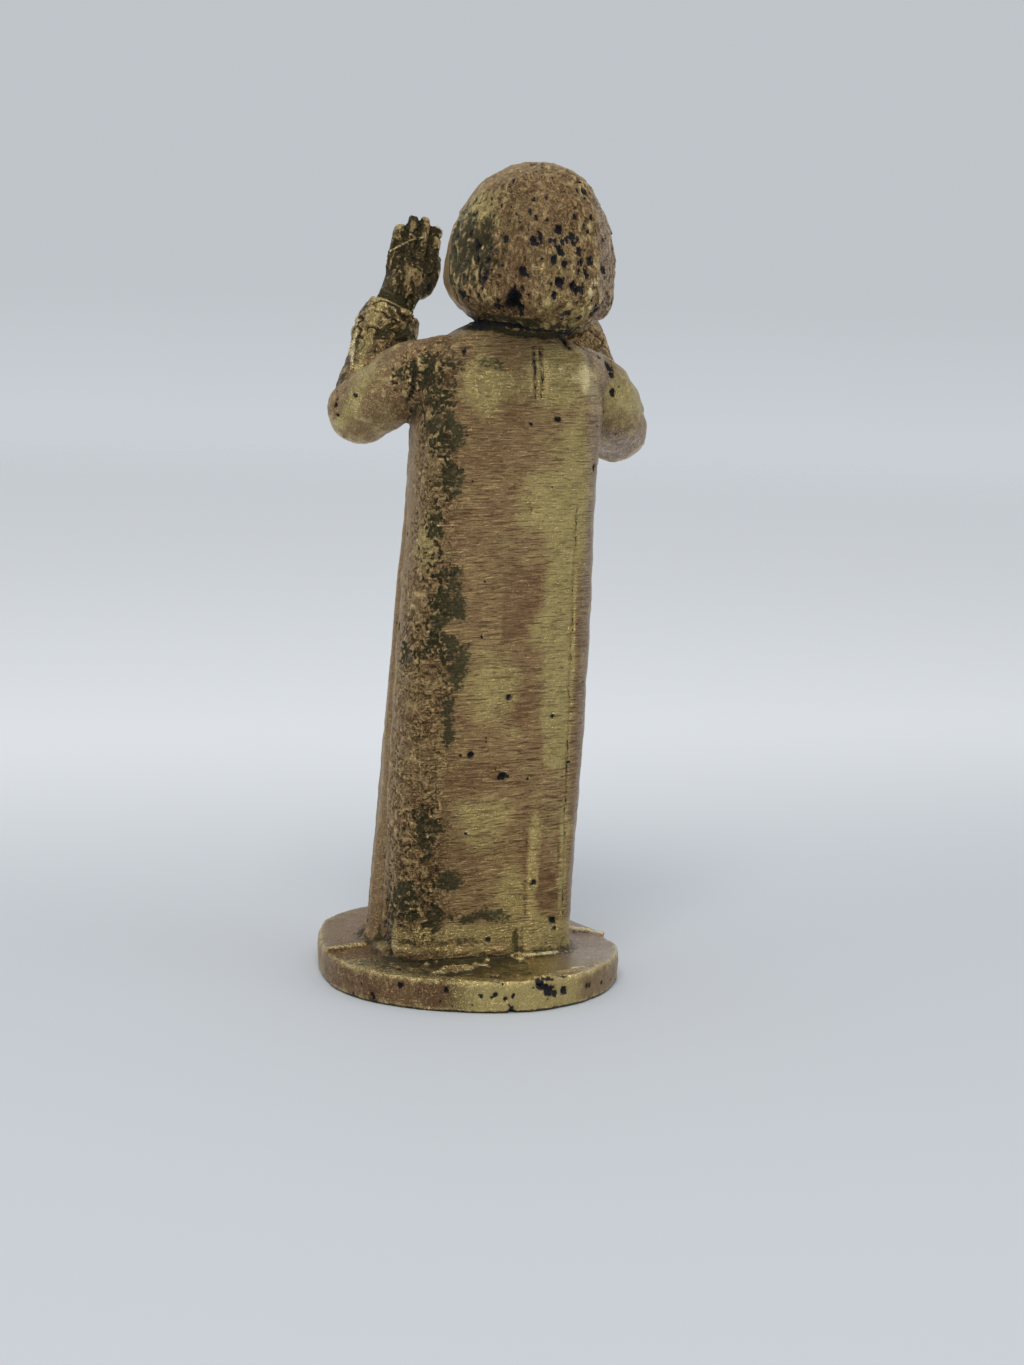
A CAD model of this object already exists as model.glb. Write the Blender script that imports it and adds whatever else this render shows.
"""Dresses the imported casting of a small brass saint: carving, casting marks, worn brass and a pale studio.

Lengths in the carving are in millimetres at the real size; the finished mesh is in metres, +Z up.
The figure faces -Y and its left hand is on +X.
"""

import math

import bmesh
import bpy
import numpy as np
from bpy.props import FloatProperty, FloatVectorProperty, IntProperty, PointerProperty
from mathutils import Matrix, Vector


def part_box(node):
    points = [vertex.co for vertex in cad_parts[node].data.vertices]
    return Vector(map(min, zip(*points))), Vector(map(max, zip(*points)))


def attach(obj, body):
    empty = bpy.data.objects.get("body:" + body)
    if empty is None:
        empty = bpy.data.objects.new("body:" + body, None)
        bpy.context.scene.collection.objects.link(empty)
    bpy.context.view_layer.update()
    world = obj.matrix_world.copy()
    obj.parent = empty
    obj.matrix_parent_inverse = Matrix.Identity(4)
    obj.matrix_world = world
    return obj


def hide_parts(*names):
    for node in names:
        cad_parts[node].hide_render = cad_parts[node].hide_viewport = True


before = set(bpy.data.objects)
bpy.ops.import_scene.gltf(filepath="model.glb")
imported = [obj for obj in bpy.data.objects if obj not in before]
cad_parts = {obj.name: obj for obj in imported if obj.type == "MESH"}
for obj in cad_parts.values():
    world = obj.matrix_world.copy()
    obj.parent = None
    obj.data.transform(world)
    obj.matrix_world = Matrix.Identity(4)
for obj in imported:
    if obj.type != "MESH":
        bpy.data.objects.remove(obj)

bl_info = {
    "name": "Brass saint figurine",
    "version": (1, 0, 0),
    "blender": (4, 5, 0),
    "location": "View3D > Sidebar > Saint",
    "description": "Casts the brass saint with its wear and sets a pale studio around it",
    "category": "Object",
}

MM = 0.001
NODE = "saint_figurine"
LOW, HIGH = (np.array(corner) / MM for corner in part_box(NODE))

# The figure is drawn upright in units of its own height, 57.8 from the plate to the crown, then leans
DRAWN_HEIGHT = 57.8
LEAN = math.radians(2.25)
FOOT_SHIFT = -0.05
HEAD_SHIFT = -1.13
PLATE_DIAMETER = 23.4
PLATE_THICKNESS = 2.3
PLATE_EDGE_ROUND = 0.25
PLATE_WAVES = ((1, 0.015, -33), (2, 0.047, -161), (3, 0.017, 92), (4, 0.008, 160), (5, 0.012, 120))
PLATE_NICK = (171, 5.5, -0.035)
UNIT = (HIGH[2] - PLATE_THICKNESS) / DRAWN_HEIGHT

# Robe sections: height, half width, reach to the back, reach to the front
ROBE_SECTIONS = np.array((
    (-1.5, 7.9, 6.3, 6.2),
    (0.0, 7.6, 5.95, 5.9),
    (0.9, 7.2, 5.4, 5.5),
    (6.0, 7.1, 5.2, 5.3),
    (16.0, 7.2, 5.0, 5.0),
    (26.0, 7.05, 4.85, 4.7),
    (32.0, 6.8, 4.75, 4.5),
    (37.0, 6.8, 4.6, 4.6),
    (40.5, 6.95, 4.4, 4.6),
    (43.0, 6.6, 4.0, 4.2),
    (44.5, 5.4, 3.5, 3.6),
    (45.5, 3.9, 3.0, 3.0),
    (46.3, 2.2, 2.2, 2.2),
))
BACK_SQUARENESS, FRONT_SQUARENESS = 4.6, 2.7

# Drapery ridges: degrees from the front, lowest and highest height, half spread in degrees, relief
ROBE_FOLDS = (
    (-92, -9.0, 36.0, 4.0, -0.35),
    (-80, -9.0, 14.0, 4.5, 0.40),
    (-61, -9.0, 30.0, 7.0, 0.60),
    (-37, -9.0, 23.0, 7.0, 0.80),
    (-12, -9.0, 33.0, 7.5, 0.75),
    (13, -9.0, 27.0, 7.0, 0.85),
    (38, -9.0, 34.0, 7.5, 0.70),
    (62, -9.0, 31.0, 7.0, 0.65),
    (81, -9.0, 11.5, 4.5, 0.30),
    (93, -9.0, 36.0, 4.0, -0.35),
    (-52, 30.0, 46.0, 8.0, 0.40),
    (-26, 34.0, 45.0, 7.0, 0.35),
    (30, 32.0, 45.0, 7.0, 0.35),
    (55, 29.0, 46.0, 8.0, 0.40),
)
FOLD_FADE, FOLD_GATHER = 6.0, 0.22

# Left arm: x, y, z, radius; the right arm mirrors it
UPPER_ARM = ((4.9, 0.9, 42.7, 2.3), (6.9, -0.5, 42.0, 2.5), (8.5, -2.3, 40.4, 2.6), (9.8, -4.3, 39.2, 2.5))
FOREARM = (
    (9.8, -4.3, 39.2, 2.45),
    (8.9, -5.6, 41.7, 2.2),
    (7.9, -6.6, 44.1, 2.35),
    (7.4, -7.0, 45.8, 2.4),
    (6.9, -7.05, 46.9, 2.15),
)
WRIST = ((7.5, -7.0, 45.0, 1.5), (6.8, -7.1, 47.8, 1.5), (6.2, -7.2, 49.2, 1.6))
RIGHT_ARM_OUT, RIGHT_FOREARM_IN = 0.65, 0.4
FOREARM_FOOT, FOREARM_TOP = 39.2, 46.0
PALM = ((5.9, -7.2, 49.9), (1.95, 0.75, 2.0))
FINGER_ROOTS = ((7.25, 50.7), (6.3, 50.9), (5.3, 50.9), (4.4, 50.7))
FINGER_TIPS = ((6.8, 52.9), (5.85, 53.65), (4.9, 53.65), (3.97, 53.05))
FINGER_RADIUS, FINGER_CURL = 0.53, -0.35
THUMB = ((4.9, -7.2, 48.8, 0.85), (4.2, -7.6, 49.8, 0.66), (3.9, -8.0, 50.9, 0.55))

# Head of hair and face
HAIR_WIDEST, HAIR_HALF_WIDTH, HAIR_FULLNESS, HAIR_TILT = 49.6, 6.17, 0.24, -0.3
HAIR_DOME, HAIR_BOWL, HAIR_BACK, HAIR_FRONT, HAIR_CENTRE_Y = 8.2, 4.0, 6.1, 6.2, 0.3
HAIR_LOCKS, HAIR_LOCK_RELIEF, WORN_SHARE = 22, 0.26, 0.10
FACE_CENTRE, FACE_RADII, JAW_TAPER = (0.0, -0.7, 51.1), (4.6, 5.0, 5.2), 0.25
HAIRLINE, FACE_WINDOW_HALF_WIDTH, FACE_WINDOW_Y = 54.0, 4.0, -1.2
EYE_PLACE, EYE_RADII = (1.7, -4.5, 51.35), (0.93, 0.85, 0.68)
NOSE_TOP_Z, NOSE_TIP_Z, NOSE_BASE_Z, NOSE_FADE = 52.05, 50.0, 49.4, 0.9
NOSE_HALF_WIDTHS, NOSE_RISES = (0.48, 0.75), (0.3, 1.2)
BROW_Z, BROW_ARCH, BROW_ARCH_AT, BROW_RISE, BROW_THICKNESS = 52.25, 0.35, 1.9, 0.34, 0.34
BROW_ENDS = (0.2, 0.9, 2.6, 3.6)
CHIN_Z = 47.1
FACE_FEATURES = {
    "nose wings": (0.68, 0.36, 49.8, 0.36, 0.42),
    "eye sockets": (1.7, 1.1, 51.4, 0.75, -0.8),
    "upper lip": (0.0, 1.25, 48.78, 0.26, 0.42),
    "lower lip": (0.0, 1.05, 48.09, 0.28, 0.46),
    "mouth line": (0.0, 1.3, 48.45, 0.12, -0.3),
    "chin": (0.0, 1.2, 47.1, 0.6, 0.42),
    "cheeks": (2.5, 1.1, 49.9, 1.3, 0.22),
}
NECK = ((0.0, 0.2, 43.5, 3.2), (-0.4, 0.1, 46.0, 2.9), (-0.8, 0.0, 49.0, 3.0))
THROAT = ((-0.2, -0.3, 43.9), (4.3, 3.7, 1.7))
COLLAR_CENTRE, COLLAR_RADIUS, COLLAR_THICKNESS, COLLAR_TILT = (-0.4, -0.3, 45.3), 3.4, 0.5, math.radians(14)
SHOE = ((2.2, -5.6, 0.3), (1.5, 2.7, 1.0))

# Camera: place in mm, heading, pitch and roll in degrees, sensor and lens in mm; and the room's dim side
CAMERA_PLACE, CAMERA_TURN = (43.305, 141.645, 41.434), (-161.9117, -7.4675, 2.0)
CAMERA_SENSOR, CAMERA_LENS = 36.0, 52.75
DIM_SIDE = (0.30, 0.92, 0.25)

# Casting pits seen on the back, the head and the plate's rim: place, radius, depth
PITS = (
    (1.59, 5.2, 17.42, 0.20, 0.25), (0.49, 5.2, 18.51, 0.12, 0.15), (-0.83, 5.2, 15.68, 0.28, 0.30),
    (-5.10, 5.2, 4.82, 0.30, 0.30), (-3.51, 5.2, 7.77, 0.17, 0.20), (-5.30, 5.2, 4.2, 0.15, 0.15),
    (-4.36, 4.4, 41.56, 0.20, 0.25), (-2.31, 4.4, 41.20, 0.13, 0.15), (0.9, 5.0, 29.9, 0.13, 0.15),
    (1.0, 5.0, 25.9, 0.12, 0.15), (2.4, 5.0, 17.3, 0.11, 0.12), (-4.1, 5.0, 30.4, 0.07, 0.10),
    (-0.56, 6.2, 56.87, 0.36, 0.40), (-0.10, 5.6, 49.44, 0.62, 0.75), (-0.55, 5.5, 49.0, 0.40, 0.60),
    (-3.45, 6.0, 54.93, 0.32, 0.35), (-1.41, 6.2, 53.98, 0.25, 0.30), (-1.91, 6.2, 54.36, 0.20, 0.25),
    (-0.60, 6.2, 51.81, 0.26, 0.30), (-3.37, 6.0, 51.20, 0.30, 0.35), (-2.9, 6.1, 52.6, 0.22, 0.25),
    (-8.88, 2.0, 45.48, 0.34, 0.35), (-9.28, 2.0, 43.68, 0.22, 0.25), (-7.59, 4.0, 38.19, 0.24, 0.30),
    (-9.87, 1.0, 39.6, 0.20, 0.20), (6.9, 0.5, 26.21, 0.26, 0.25), (8.81, 1.2, 41.7, 0.22, 0.20),
    (-1.92, 11.4, 1.75, 0.26, 0.25), (-2.62, 11.3, 1.33, 0.36, 0.35), (-3.10, 11.2, 1.05, 0.20, 0.20),
    (-3.83, 11.0, 1.25, 0.24, 0.25), (1.26, 11.5, 1.37, 0.22, 0.22), (2.29, 11.5, 1.21, 0.13, 0.12),
    (0.18, 11.5, 0.35, 0.15, 0.15), (-6.0, 10.1, 1.2, 0.18, 0.18), (0.98, 10.4, 2.3, 0.34, 0.30),
    (1.9, 10.3, 2.3, 0.16, 0.18),
)

# Where the brass is rubbed bright, stained dark or left smooth and brown, seen from behind:
# kind, place across and in height, half sizes, softness of the edge as a share of the size
BACK_PATCHES = (
    ("rubbed", -4.95, 25.5, 1.25, 9.6, 0.08),
    ("rubbed", -5.6, 36.0, 1.3, 5.0, 0.5),
    ("rubbed", -4.2, 35.6, 2.0, 3.6, 0.7),
    ("rubbed", -4.4, 44.6, 1.9, 1.6, 0.6),
    ("rubbed", 0.9, 44.2, 2.2, 1.3, 0.6),
    ("rubbed", 0.9, 44.0, 0.9, 2.4, 0.6),
    ("brown", -0.9, 43.4, 1.0, 2.6, 0.5),
    ("rubbed", -3.4, 7.9, 0.42, 5.2, 0.4),
    ("rubbed", -5.8, 9.8, 0.32, 4.8, 0.4),
    ("rubbed", 0.2, 12.6, 2.0, 2.2, 0.8),
    ("rubbed", -1.6, 7.0, 1.1, 3.0, 0.6),
    ("rubbed", 4.9, 4.0, 2.3, 1.0, 0.4),
    ("rubbed", 1.0, 4.1, 3.2, 0.9, 0.4),
    ("rubbed", -4.2, 3.6, 1.9, 1.7, 0.3),
    ("rubbed", 5.0, 32.2, 0.5, 1.8, 0.6),
    ("rubbed", 0.2, 22.0, 1.8, 2.4, 0.8),
    ("dark", 4.9, 44.2, 1.3, 1.7, 0.6),
    ("dark", 4.2, 41.2, 1.3, 2.6, 0.6),
    ("dark", 3.9, 37.4, 0.9, 2.6, 0.7),
    ("dark", 4.6, 34.2, 0.6, 1.6, 0.7),
    ("dark", 3.5, 28.9, 1.5, 2.2, 0.5),
    ("dark", 3.9, 26.0, 1.1, 1.6, 0.6),
    ("dark", 2.7, 23.8, 0.8, 1.6, 0.7),
    ("dark", 6.1, 24.8, 0.8, 1.7, 0.6),
    ("dark", 3.3, 20.4, 0.45, 2.4, 0.7),
    ("dark", 4.8, 11.9, 1.2, 1.7, 0.6),
    ("dark", 3.0, 8.2, 1.1, 0.9, 0.6),
    ("dark", 5.9, 6.2, 1.0, 1.8, 0.6),
    ("dark", 4.2, 5.6, 0.8, 0.9, 0.7),
    ("dark", 2.4, 45.4, 2.6, 0.5, 0.7),
    ("brown", -2.0, 27.8, 1.5, 3.0, 0.08),
    ("brown", -1.7, 21.6, 1.5, 2.0, 0.5),
    ("brown", 1.5, 15.6, 1.5, 2.2, 0.6),
    ("brown", -4.6, 7.2, 0.8, 1.7, 0.25),
    ("brown", 0.4, 9.9, 3.4, 0.8, 0.6),
    ("brown", 1.9, 40.8, 1.5, 3.0, 0.7),
)

# The same on the back of the hair: kind, across and half width, height and half height, amount
HEAD_PATCHES = (
    ("dark", 1.4, 2.0, 48.7, 1.0, 0.62),
    ("rubbed", 1.4, 1.0, 56.4, 1.5, 1.1),
    ("rubbed", -5.2, 1.3, 48.4, 1.4, 1.1),
    ("brown", -0.4, 1.2, 52.0, 3.0, 0.9),
)

# Bulges of the hem: across, half width, height, relief; and where they are smooth and brown
HEM_BULGES = ((5.5, 1.4, 3.0, 0.50), (2.1, 1.3, 2.95, 0.55), (-0.7, 1.0, 2.9, 0.50))
HEM_BROWN = ((5.5, 1.0), (2.1, 0.95), (-0.7, 0.8))

# Beads of metal on the plate: x, y, size
PLATE_BEADS = ((5.0, 6.9, 0.22), (0.35, 6.6, 0.24), (4.2, 6.6, 0.16))

HEAD_PIT_STRETCH = 0.68

# Raised seams on the left hand and cuff, seen from behind: across and in height
HAND_SEAMS = (
    ((5.6, 53.7), (4.2, 54.5), (3.0, 54.9)),
    ((6.5, 50.2), (5.2, 49.6), (3.75, 48.65)),
    ((7.9, 49.0), (8.5, 46.5), (9.3, 43.6)),
)


def smooth_step(low, high, value):
    """0 below low, 1 above high, and an S curve between them; it falls where low is above high."""
    share = np.clip((value - low) / (high - low), 0.0, 1.0)
    return share * share * (3.0 - 2.0 * share)


def band(value, low, low_full, high_full, high):
    """1 from low_full to high_full, 0 below low and above high."""
    return smooth_step(low, low_full, value) * smooth_step(high, high_full, value)


def hill(value, middle, spread):
    """A bell curve of height 1."""
    return np.exp(-(((value - middle) / spread) ** 2))


def lattice_noise(points, size, seed):
    """Smooth noise from -1 to 1, with lumps of about the given size; size may differ along x, y and z."""
    table = np.random.default_rng(seed).uniform(-1.0, 1.0, 4096)
    scaled = points / np.asarray(size, float)
    cell = np.floor(scaled).astype(np.int64)
    share = scaled - cell
    share = share * share * (3.0 - 2.0 * share)
    steps = (73856093, 19349663, 83492791)
    ends = [
        ((cell[:, axis] * step, 1.0 - share[:, axis]), ((cell[:, axis] + 1) * step, share[:, axis]))
        for axis, step in enumerate(steps)
    ]
    total = 0.0
    for key_x, weight_x in ends[0]:
        for key_y, weight_y in ends[1]:
            key, weight = key_x ^ key_y, weight_x * weight_y
            for key_z, weight_z in ends[2]:
                total = total + weight * weight_z * table[(key ^ key_z) & 4095]
    return total


def layered_noise(points, size, seed, layers=3):
    total = 0.0
    for layer in range(layers):
        total = total + lattice_noise(points, np.asarray(size, float) / 2**layer, seed + layer) / 2**layer
    return total


def read_points(mesh):
    points = np.empty(len(mesh.vertices) * 3, np.float32)
    mesh.vertices.foreach_get("co", points)
    return points.reshape(-1, 3).astype(float)


def write_points(mesh, points):
    mesh.vertices.foreach_set("co", points.astype(np.float32).ravel())
    mesh.update()


def read_normals(mesh):
    normals = np.empty(len(mesh.vertices) * 3, np.float32)
    mesh.vertex_normals.foreach_get("vector", normals)
    return normals.reshape(-1, 3).astype(float)


def write_attribute(mesh, name, values):
    layer = mesh.attributes.new(name, "FLOAT", "POINT")
    layer.data.foreach_set("value", np.asarray(values, np.float32))


def new_object(name, data):
    thing = bpy.data.objects.new(name, data)
    bpy.context.scene.collection.objects.link(thing)
    return thing


def evaluated_mesh(thing):
    """The object's mesh with its modifiers applied; the object itself goes."""
    graph = bpy.context.evaluated_depsgraph_get()
    mesh = bpy.data.meshes.new_from_object(thing.evaluated_get(graph))
    bpy.data.objects.remove(thing)
    return mesh


class Shapes:
    """Closed shapes gathered in one mesh before they are fused."""

    def __init__(self):
        self.bm = bmesh.new()

    def take(self, mesh):
        self.bm.from_mesh(mesh)
        bpy.data.meshes.remove(mesh)

    def ball(self, segments, rings, move):
        """A sphere of radius 1 whose points a function puts in place."""
        shape = bmesh.new()
        bmesh.ops.create_uvsphere(shape, u_segments=segments, v_segments=rings, radius=1.0)
        mesh = bpy.data.meshes.new("shape")
        shape.to_mesh(mesh)
        shape.free()
        write_points(mesh, move(read_points(mesh)))
        self.take(mesh)

    def egg(self, centre, radii):
        self.ball(40, 28, lambda points: points * radii + centre)

    def limb(self, path, rounded=True, close_loop=False):
        """A tube with a changing radius along a smooth curve."""
        curve = bpy.data.curves.new("limb", "CURVE")
        curve.dimensions = "3D"
        curve.bevel_depth = 1.0
        curve.bevel_resolution = 8
        curve.resolution_u = 10
        curve.use_fill_caps = True
        spline = curve.splines.new("BEZIER")
        spline.bezier_points.add(len(path) - 1)
        spline.use_cyclic_u = close_loop
        spline.radius_interpolation = "CARDINAL"
        for point, (x, y, z, radius) in zip(spline.bezier_points, path):
            point.co = (x, y, z)
            point.radius = radius
            point.handle_left_type = point.handle_right_type = "AUTO"
        self.take(evaluated_mesh(new_object("limb", curve)))
        if rounded and not close_loop:
            for x, y, z, radius in (path[0], path[-1]):
                self.egg((x, y, z), (radius,) * 3)

    def mesh(self):
        mesh = bpy.data.meshes.new("shapes")
        self.bm.to_mesh(mesh)
        self.bm.free()
        return mesh


def robe_relief(angle, height):
    """How far the drapery stands out at an angle from the front, in degrees."""
    relief = 0.0
    for place, foot, top, spread, amount in ROBE_FOLDS:
        gathered = place * (1.0 - FOLD_GATHER * np.maximum(0.0, height) / DRAWN_HEIGHT)
        shown = smooth_step(foot, foot + FOLD_FADE, height) * smooth_step(top, top - FOLD_FADE, height)
        relief = relief + amount * shown * hill(angle, gathered, spread)
    return relief


def robe_points(points):
    """The robe's skin, section by section, from a sphere whose poles become the two end caps."""
    x, y, z = points.T
    foot, top = ROBE_SECTIONS[0, 0], ROBE_SECTIONS[-1, 0]
    height = top + (foot - top) * np.arccos(np.clip(z, -1.0, 1.0)) / math.pi
    half_width, back, front = (np.interp(height, ROBE_SECTIONS[:, 0], ROBE_SECTIONS[:, n]) for n in (1, 2, 3))
    ring = np.hypot(x, y)
    pole = ring < 1e-4
    across, along = (np.where(pole, 1.0, value / np.where(pole, 1.0, ring)) for value in (x, y))
    power = FRONT_SQUARENESS + (BACK_SQUARENESS - FRONT_SQUARENESS) * smooth_step(-0.35, 0.35, along)
    reach = np.where(along > 0, back, front)
    radius = ((np.abs(across) / half_width) ** power + (np.abs(along) / reach) ** power) ** (-1.0 / power)
    radius = np.where(pole, 0.0, radius + robe_relief(np.degrees(np.arctan2(across, -along)), height))
    return np.column_stack((across * radius, along * radius, height))


def hair_points(points):
    """A bowl-cut head of hair in soft locks, pushed in at the front where the face stands."""
    x, y, z = points.T
    rise = np.where(z > 0, HAIR_DOME, HAIR_BOWL) * z
    crown = np.maximum(0.0, z)
    fullness = 1.0 + HAIR_FULLNESS * crown**4
    turn = np.arctan2(x, y)
    wave = HAIR_LOCKS * turn + 1.1 * np.sin(4.0 * z) + 0.8 * np.sin(3.0 * turn)
    crisp = WORN_SHARE + (1.0 - WORN_SHARE) * smooth_step(1.5, 2.1, np.abs(turn))
    strands = 0.22 * (2.0 * np.abs(np.cos(1.5 * wave + 0.6 * np.sin(7.0 * z))) - 1.0)
    lock = 2.0 * np.abs(np.cos(wave / 2.0)) - 1.0 + strands * smooth_step(0.9, 1.6, np.abs(turn))
    relief = HAIR_LOCK_RELIEF * crisp * lock * smooth_step(0.98, 0.7, np.abs(z))
    width = HAIR_HALF_WIDTH * fullness + relief
    depth = np.where(y > 0, HAIR_BACK, HAIR_FRONT) * fullness + relief
    px = x * width + HAIR_TILT * crown**2
    py = HAIR_CENTRE_Y + y * depth
    pz = HAIR_WIDEST + rise
    climb = np.maximum(0.0, (pz - FACE_CENTRE[2]) / (HAIRLINE - FACE_CENTRE[2]))
    arch = FACE_WINDOW_HALF_WIDTH * np.sqrt(np.maximum(0.0, 1.0 - climb**2))
    inside = smooth_step(arch + 0.5, arch - 0.3, np.abs(px)) * smooth_step(HAIRLINE + 0.4, HAIRLINE - 0.3, pz)
    py = np.where(py < 0, py + (FACE_WINDOW_Y - py) * inside, py)
    return np.column_stack((px + HEAD_SHIFT, py, pz))


def face_relief(x, z):
    """How far the features stand in front of the plain oval of the face."""
    side = np.abs(x)
    lower = smooth_step(NOSE_TOP_Z, NOSE_TIP_Z, z)
    nose_width = NOSE_HALF_WIDTHS[0] + (NOSE_HALF_WIDTHS[1] - NOSE_HALF_WIDTHS[0]) * lower
    nose = (NOSE_RISES[0] + (NOSE_RISES[1] - NOSE_RISES[0]) * lower) * hill(x, 0.0, nose_width)
    nose *= smooth_step(NOSE_TOP_Z + NOSE_FADE, NOSE_TOP_Z, z)
    nose *= smooth_step(NOSE_BASE_Z - NOSE_FADE / 4, NOSE_BASE_Z + NOSE_FADE / 2, z)
    inner, inner_full, outer_full, outer = BROW_ENDS
    brow_line = BROW_Z + BROW_ARCH * hill(side, BROW_ARCH_AT, BROW_ARCH_AT / 2)
    brow = BROW_RISE * hill(z, brow_line, BROW_THICKNESS)
    relief = nose + brow * smooth_step(inner, inner_full, side) * smooth_step(outer, outer_full, side)
    for across, spread, height, rise, amount in FACE_FEATURES.values():
        relief = relief + amount * hill(side, across, spread) * hill(z, height, rise)
    return relief


def face_points(points):
    """An oval with calm, plain features; the sphere's poles face front and back."""
    x, y, z = points[:, 0], -points[:, 2], points[:, 1]
    height = FACE_CENTRE[2] + z * FACE_RADII[2]
    across = x * FACE_RADII[0] * (1.0 - JAW_TAPER * smooth_step(NOSE_TIP_Z, CHIN_Z - 1.0, height))
    along = FACE_CENTRE[1] + y * FACE_RADII[1] - face_relief(across, height) * smooth_step(0.0, -0.45, y)
    return np.column_stack((across + HEAD_SHIFT, along, height))


def arm_shift(height, side):
    if side > 0:
        return 0.0
    return RIGHT_FOREARM_IN * smooth_step(FOREARM_FOOT, FOREARM_TOP, height) - RIGHT_ARM_OUT


def placed(path, side):
    return tuple((side * x + arm_shift(z, side), y, z, radius) for x, y, z, radius in path)


def finger_path(root, tip):
    y = PALM[0][1]
    return (
        (root[0], y, root[1], FINGER_RADIUS * 1.08),
        ((root[0] + tip[0]) / 2, y - 0.1, (root[1] + tip[1]) / 2, FINGER_RADIUS * 1.03),
        (tip[0], y + FINGER_CURL, tip[1], FINGER_RADIUS * 0.9),
    )


def figure_shapes():
    """Every shape of the figure, upright, in drawn units."""
    shapes = Shapes()
    shapes.ball(200, 170, robe_points)
    for side in (-1, 1):
        shapes.limb(placed(UPPER_ARM, side))
        shapes.limb(placed(FOREARM, side), rounded=False)
        shapes.limb(placed(WRIST, side))
        (x, y, z), half_sizes = PALM
        shapes.egg((side * x + arm_shift(z, side), y, z), half_sizes)
        for root, tip in zip(FINGER_ROOTS, FINGER_TIPS):
            shapes.limb(placed(finger_path(root, tip), side))
        shapes.limb(placed(THUMB, side))
        (x, y, z), half_sizes = SHOE
        shapes.egg((side * x, y, z), half_sizes)
        x, y, z = EYE_PLACE
        shapes.egg((side * x + HEAD_SHIFT, y, z), EYE_RADII)
    shapes.limb(NECK)
    shapes.egg(*THROAT)
    turn = Matrix.Translation(COLLAR_CENTRE) @ Matrix.Rotation(COLLAR_TILT, 4, "X")
    ring = []
    for step in range(8):
        angle = math.tau * step / 8
        place = turn @ Vector((COLLAR_RADIUS * math.cos(angle), COLLAR_RADIUS * math.sin(angle), 0.0))
        ring.append((*place, COLLAR_THICKNESS))
    shapes.limb(ring, close_loop=True)
    shapes.ball(150, 120, face_points)
    shapes.ball(230, 150, hair_points)
    return shapes.mesh()


def stand_matrix():
    """From the upright drawing to the leaning figure on its plate, in millimetres."""
    stand = Matrix.Translation((FOOT_SHIFT * UNIT, 0.0, PLATE_THICKNESS))
    return stand @ Matrix.Rotation(-LEAN, 4, "Y") @ Matrix.Scale(UNIT, 4)


def plate_mesh():
    """The rounded foot plate, trimmed by hand, with softened edges."""
    bm = bmesh.new()
    place = Matrix.Translation((0.0, 0.0, PLATE_THICKNESS / 2))
    bmesh.ops.create_cone(
        bm, cap_ends=True, segments=288, radius1=1.0, radius2=1.0, depth=PLATE_THICKNESS, matrix=place
    )
    nick_place, nick_spread, nick_depth = PLATE_NICK
    for vert in bm.verts:
        angle = math.atan2(vert.co.y, vert.co.x)
        share = 1.0 + nick_depth * hill(math.degrees(angle), nick_place, nick_spread)
        for waves, amount, crest in PLATE_WAVES:
            share += amount * math.cos(waves * angle - math.radians(crest))
        vert.co.x *= share * PLATE_DIAMETER / 2
        vert.co.y *= share * PLATE_DIAMETER / 2
    rims = [edge for edge in bm.edges if edge.calc_face_angle(0.0) > 1.0]
    bmesh.ops.bevel(
        bm, geom=rims, offset=PLATE_EDGE_ROUND, segments=3, profile=0.5, affect="EDGES", material=-1
    )
    mesh = bpy.data.meshes.new("plate")
    bm.to_mesh(mesh)
    bm.free()
    return mesh


def fused_skin(cell, softening):
    """Figure and plate as one closed skin, in millimetres."""
    shapes = Shapes()
    figure = figure_shapes()
    figure.transform(stand_matrix())
    shapes.take(figure)
    shapes.take(plate_mesh())
    thing = new_object("skin", shapes.mesh())
    fuse = thing.modifiers.new("Fuse", "REMESH")
    fuse.mode = "VOXEL"
    fuse.voxel_size = cell
    soften = thing.modifiers.new("Soften", "SMOOTH")
    soften.factor = 0.5
    soften.iterations = softening
    return evaluated_mesh(thing)


def upright(points):
    """Places on the skin, in the upright drawing."""
    back = np.array(stand_matrix().inverted())
    return points @ back[:3, :3].T + back[:3, 3]


def near_path(points, path):
    """Distance from each point to a line through the path's points."""
    path = np.array([row[:3] for row in path])
    nearest = np.full(len(points), np.inf)
    for start, end in zip(path, path[1:]):
        line = end - start
        share = np.clip((points - start) @ line / (line @ line), 0.0, 1.0)
        nearest = np.minimum(nearest, np.linalg.norm(points - start - share[:, None] * line, axis=1))
    return nearest


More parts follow.
